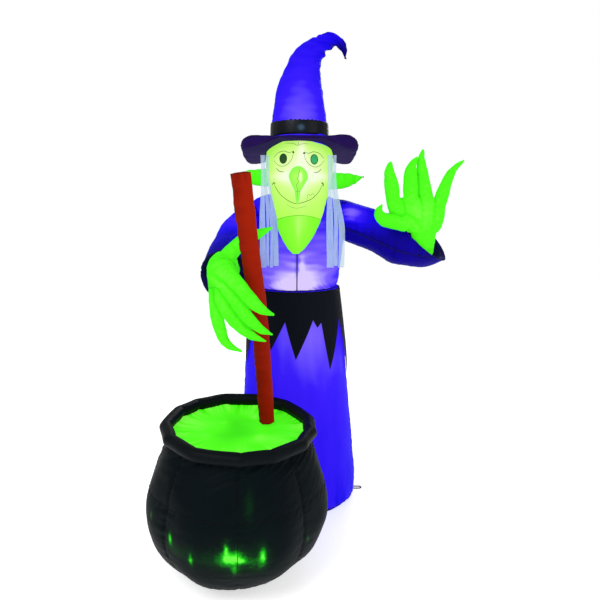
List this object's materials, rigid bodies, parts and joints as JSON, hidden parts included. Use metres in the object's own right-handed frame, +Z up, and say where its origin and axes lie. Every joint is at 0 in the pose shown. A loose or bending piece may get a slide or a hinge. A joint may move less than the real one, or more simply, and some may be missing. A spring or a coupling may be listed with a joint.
{
  "type": "animated witch figure",
  "caption": "Air-blown, lit garden witch in a pointed hat, standing behind a cauldron; her upper body turns from side to side and stirs the brew with a long stick.",
  "frame": {"origin": "on the ground, at the centre of the witch's own round ground cloth", "axes": "+Z up along the axis that the upper body turns about; the witch faces -Y, and the cauldron stands in front of her right hand, towards -X and -Y"},
  "size_m": [1.079, 1.0813, 1.8287],
  "materials": {
    "robe_fabric": "lit woven polyester",
    "black_fabric": "woven polyester",
    "green_fabric": "lit woven polyester",
    "face_fabric": "lit woven polyester, printed",
    "brim_fabric": "woven polyester",
    "stick_fabric": "woven polyester",
    "hair_ribbon": "translucent ribbon",
    "webbing": "woven webbing",
    "ballast_cloth": "sand-filled cloth",
    "black_plastic": "moulded",
    "grey_plastic": "moulded",
    "wire_jacket": "smooth jacket",
    "lamp_lens": "clear, lit",
    "plated_steel": "zinc plated"
  },
  "bodies": {
    "lower": {"air_duct": "black_fabric", "ballast_bag": "ballast_cloth", "blower_collar": "webbing", "blower_front_housing": "black_plastic", "blower_grille": "black_plastic", "blower_motor": "plated_steel", "blower_rear_housing": "black_plastic", "brew_panel": "green_fabric", "cauldron_base_panel": "black_fabric", "cauldron_bulb_left": "lamp_lens", "cauldron_bulb_middle": "lamp_lens", "cauldron_bulb_right": "lamp_lens", "cauldron_lamp_lead": "wire_jacket", "cauldron_rim": "black_fabric", "cauldron_shell": "black_fabric", "cord_gland": "black_plastic", "drive_cover": "grey_plastic", "drive_housing": "grey_plastic", "lower_lamp_lead": "wire_jacket", "mast_foot": "black_plastic", "mast_tube": "plated_steel", "skirt": "robe_fabric", "skirt_lamp_housing": "black_plastic", "skirt_lamp_lens": "lamp_lens", "stake_loop_back": "webbing", "stake_loop_left": "webbing", "stake_loop_right": "webbing", "stir_motor": "plated_steel", "waist_sash": "black_fabric", "witch_base_panel": "robe_fabric", "zip_tape": "black_plastic"},
    "upper": {"torso": "robe_fabric", "left_sleeve": "robe_fabric", "right_sleeve": "robe_fabric", "left_hand": "green_fabric", "right_hand": "green_fabric", "stirring_stick": "stick_fabric", "head": "face_fabric", "chin": "green_fabric", "nose": "face_fabric", "left_ear": "green_fabric", "right_ear": "green_fabric", "hair_left": "hair_ribbon", "hair_right": "hair_ribbon", "hat_cone": "robe_fabric", "hat_band": "black_fabric", "hat_brim": "brim_fabric", "output_gear": "grey_plastic", "spindle": "plated_steel", "arm_frame": "plated_steel", "torso_lamp_housing": "black_plastic", "torso_lamp_lens": "lamp_lens", "head_lamp_housing": "black_plastic", "head_lamp_lens": "lamp_lens", "upper_lamp_lead": "wire_jacket"},
    "pinion": {"drive_pinion": "grey_plastic"},
    "impeller": {"blower_impeller": "grey_plastic"},
    "slider": {"zip_slider": "plated_steel"}
  },
  "joints": [
    {"name": "upper_turn", "type": "hinge", "parent": "lower", "child": "upper", "pos_m": [0, 0, 0.871], "axis": [0, 0, 1], "range_deg": [-20, 8]},
    {"name": "pinion_turn", "type": "hinge", "parent": "lower", "child": "pinion", "pos_m": [0.0363, 0, 0.809], "axis": [0, 0, 1], "range_deg": [-25, 61]},
    {"name": "impeller_turn", "type": "hinge", "parent": "lower", "child": "impeller", "pos_m": [0, 0.215, 0.09], "axis": [0, 1, 0], "continuous": true},
    {"name": "zip_slide", "type": "slide", "parent": "lower", "child": "slider", "axis": [0, -0.0758, 0.9971], "range_m": [-0.16, 0.003]}
  ],
  "couplings": [
    {"joint": "pinion_turn", "follows": "upper_turn", "ratio": -3}
  ]
}
